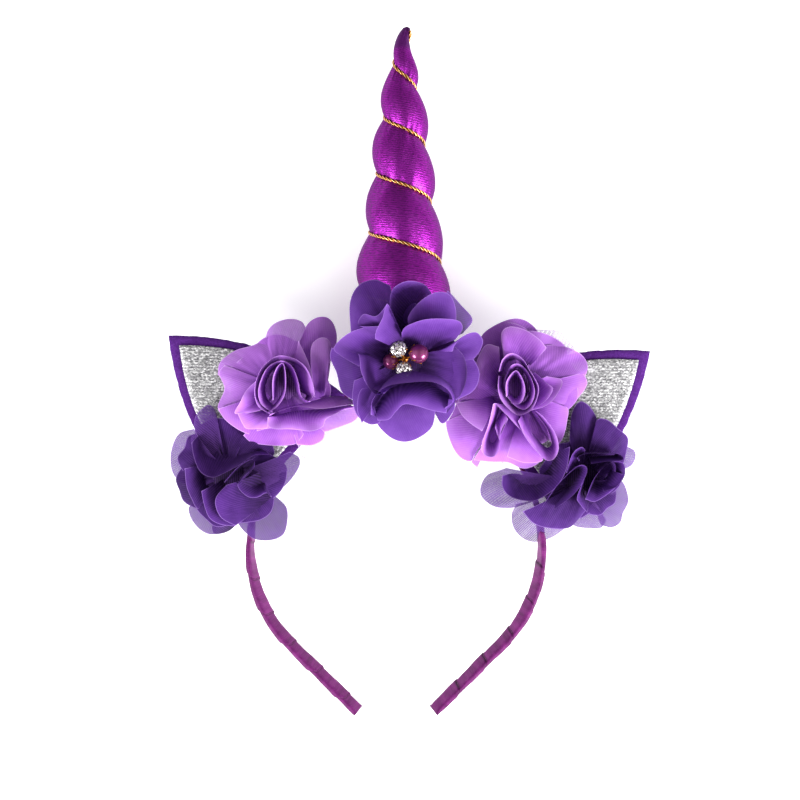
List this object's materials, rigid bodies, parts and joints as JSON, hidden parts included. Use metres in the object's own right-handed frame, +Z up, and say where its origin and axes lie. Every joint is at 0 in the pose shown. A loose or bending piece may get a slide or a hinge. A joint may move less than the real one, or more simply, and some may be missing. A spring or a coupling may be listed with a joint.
{
  "type": "unicorn horn headband",
  "caption": "Costume headband with a stuffed spiral unicorn horn, felt ears with glitter insets and a row of chiffon flowers, lying on its back.",
  "frame": {"origin": "centre of the bounding box on the surface that the headband lies on, z = 0", "axes": "+X across the band to the right as its front is seen, +Y from the open tips to the tip of the horn, +Z up, the way that the front of the flowers faces"},
  "size_m": [0.2018, 0.2902, 0.0746],
  "materials": {
    "satin_ribbon": "magenta satin ribbon wound at a slant",
    "metallic_cloth": "metallic purple knit with fine dashes",
    "gold_cord": "twisted metallic gold thread",
    "felt": "purple felt",
    "glitter_sheet": "silver glitter",
    "dark_chiffon": "dark purple chiffon, sheer in one layer",
    "lilac_chiffon": "lilac chiffon, sheer in one layer",
    "pearl": "magenta pearl",
    "rhinestone": "clear cut stones on a ball",
    "gold_wire": "polished"
  },
  "bodies": {
    "root": {"headband": "satin_ribbon", "horn_body": "metallic_cloth", "horn_cord": "gold_cord", "ear_felt_left": "felt", "ear_felt_right": "felt", "ear_glitter_left": "glitter_sheet", "ear_glitter_right": "glitter_sheet", "flower_centre": "dark_chiffon", "side_flower_left": "dark_chiffon", "side_flower_right": "dark_chiffon", "rose_left": "lilac_chiffon", "rose_right": "lilac_chiffon", "pearl_large": "pearl", "pearl_small": "pearl", "crystal_upper": "rhinestone", "crystal_lower": "rhinestone", "bead_wire": "gold_wire"}
  },
  "joints": []
}
